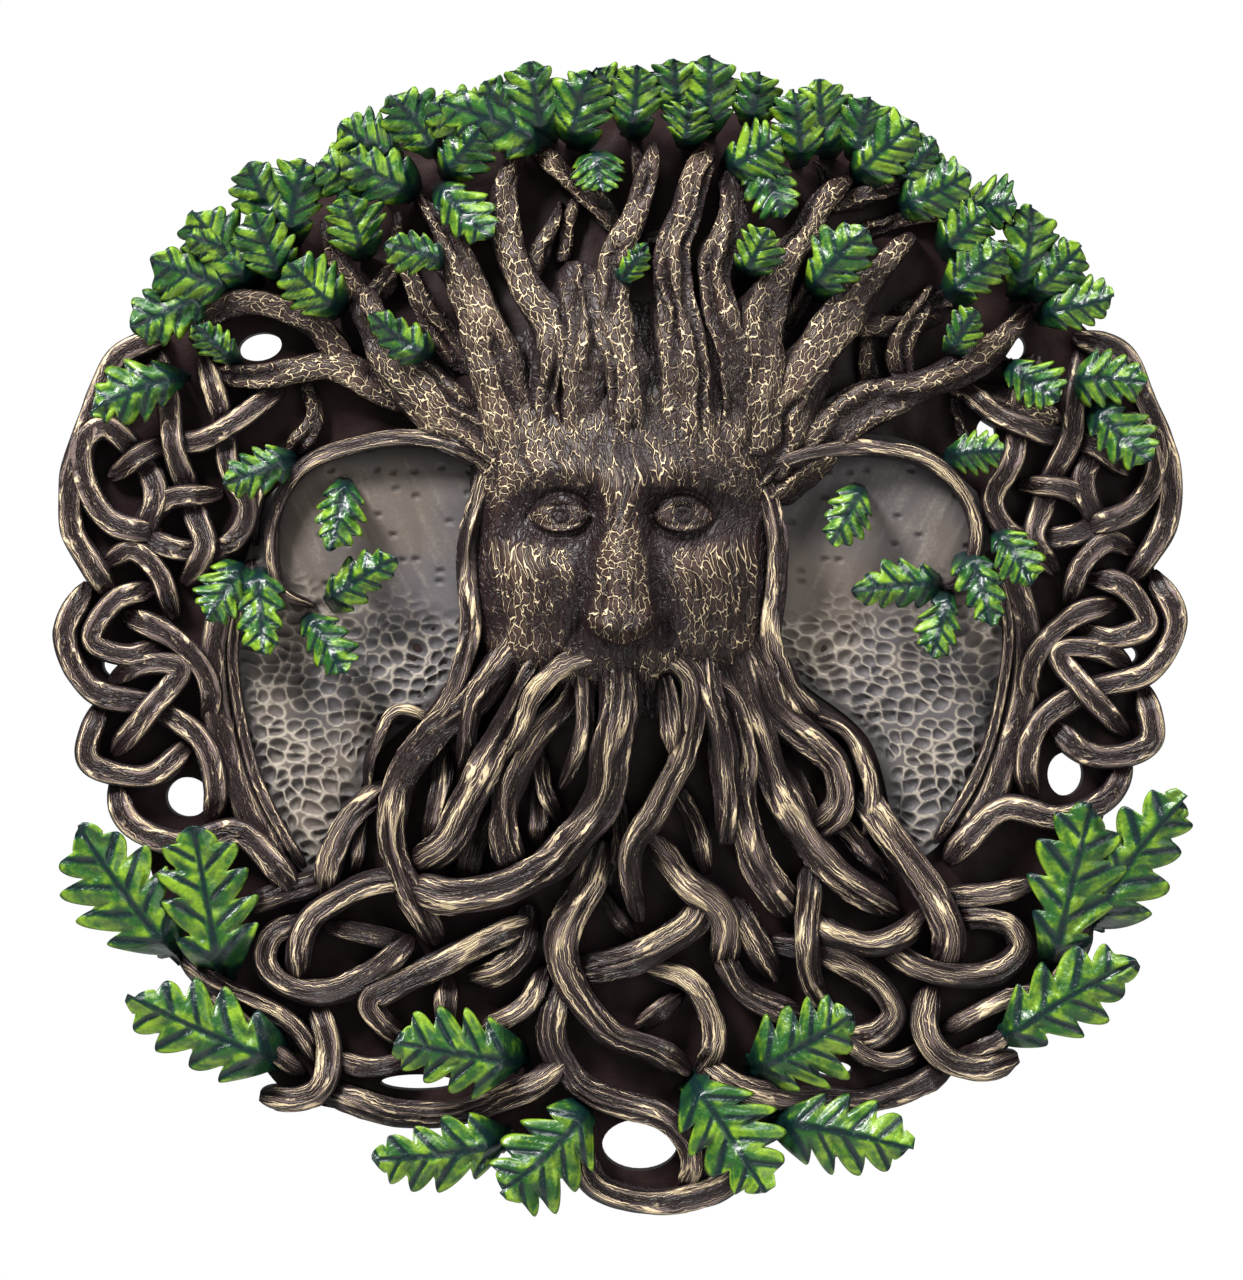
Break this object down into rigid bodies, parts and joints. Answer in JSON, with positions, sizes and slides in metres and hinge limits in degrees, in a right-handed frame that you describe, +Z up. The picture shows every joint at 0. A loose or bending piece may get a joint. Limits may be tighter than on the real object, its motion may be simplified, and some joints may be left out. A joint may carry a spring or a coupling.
{
  "type": "green man wall plaque",
  "caption": "Round wall plaque in relief: a bark-skinned face under an oak tree, with a beard of roots that runs into knotwork, stone panels and oak leaves.",
  "frame": {"origin": "on the flat back, at the middle of the plaque, where the wall is", "axes": "+X to the right as seen from the front, +Y from the plaque into the wall, +Z up"},
  "size_m": [0.2948, 0.0552, 0.2997],
  "materials": {
    "bark": "cast resin painted near-black brown in the hollows, grey-brown on the strands and dry-brushed golden tan on the raised edges, satin",
    "stone": "cast resin painted grey-brown in the hammered pits and dry-brushed pale tan on their rims, matt",
    "leaf": "cast resin painted dark green with yellow-green on the raised fields between the veins, glossy"
  },
  "bodies": {
    "root": {"green_man_plaque": "bark"}
  },
  "joints": []
}
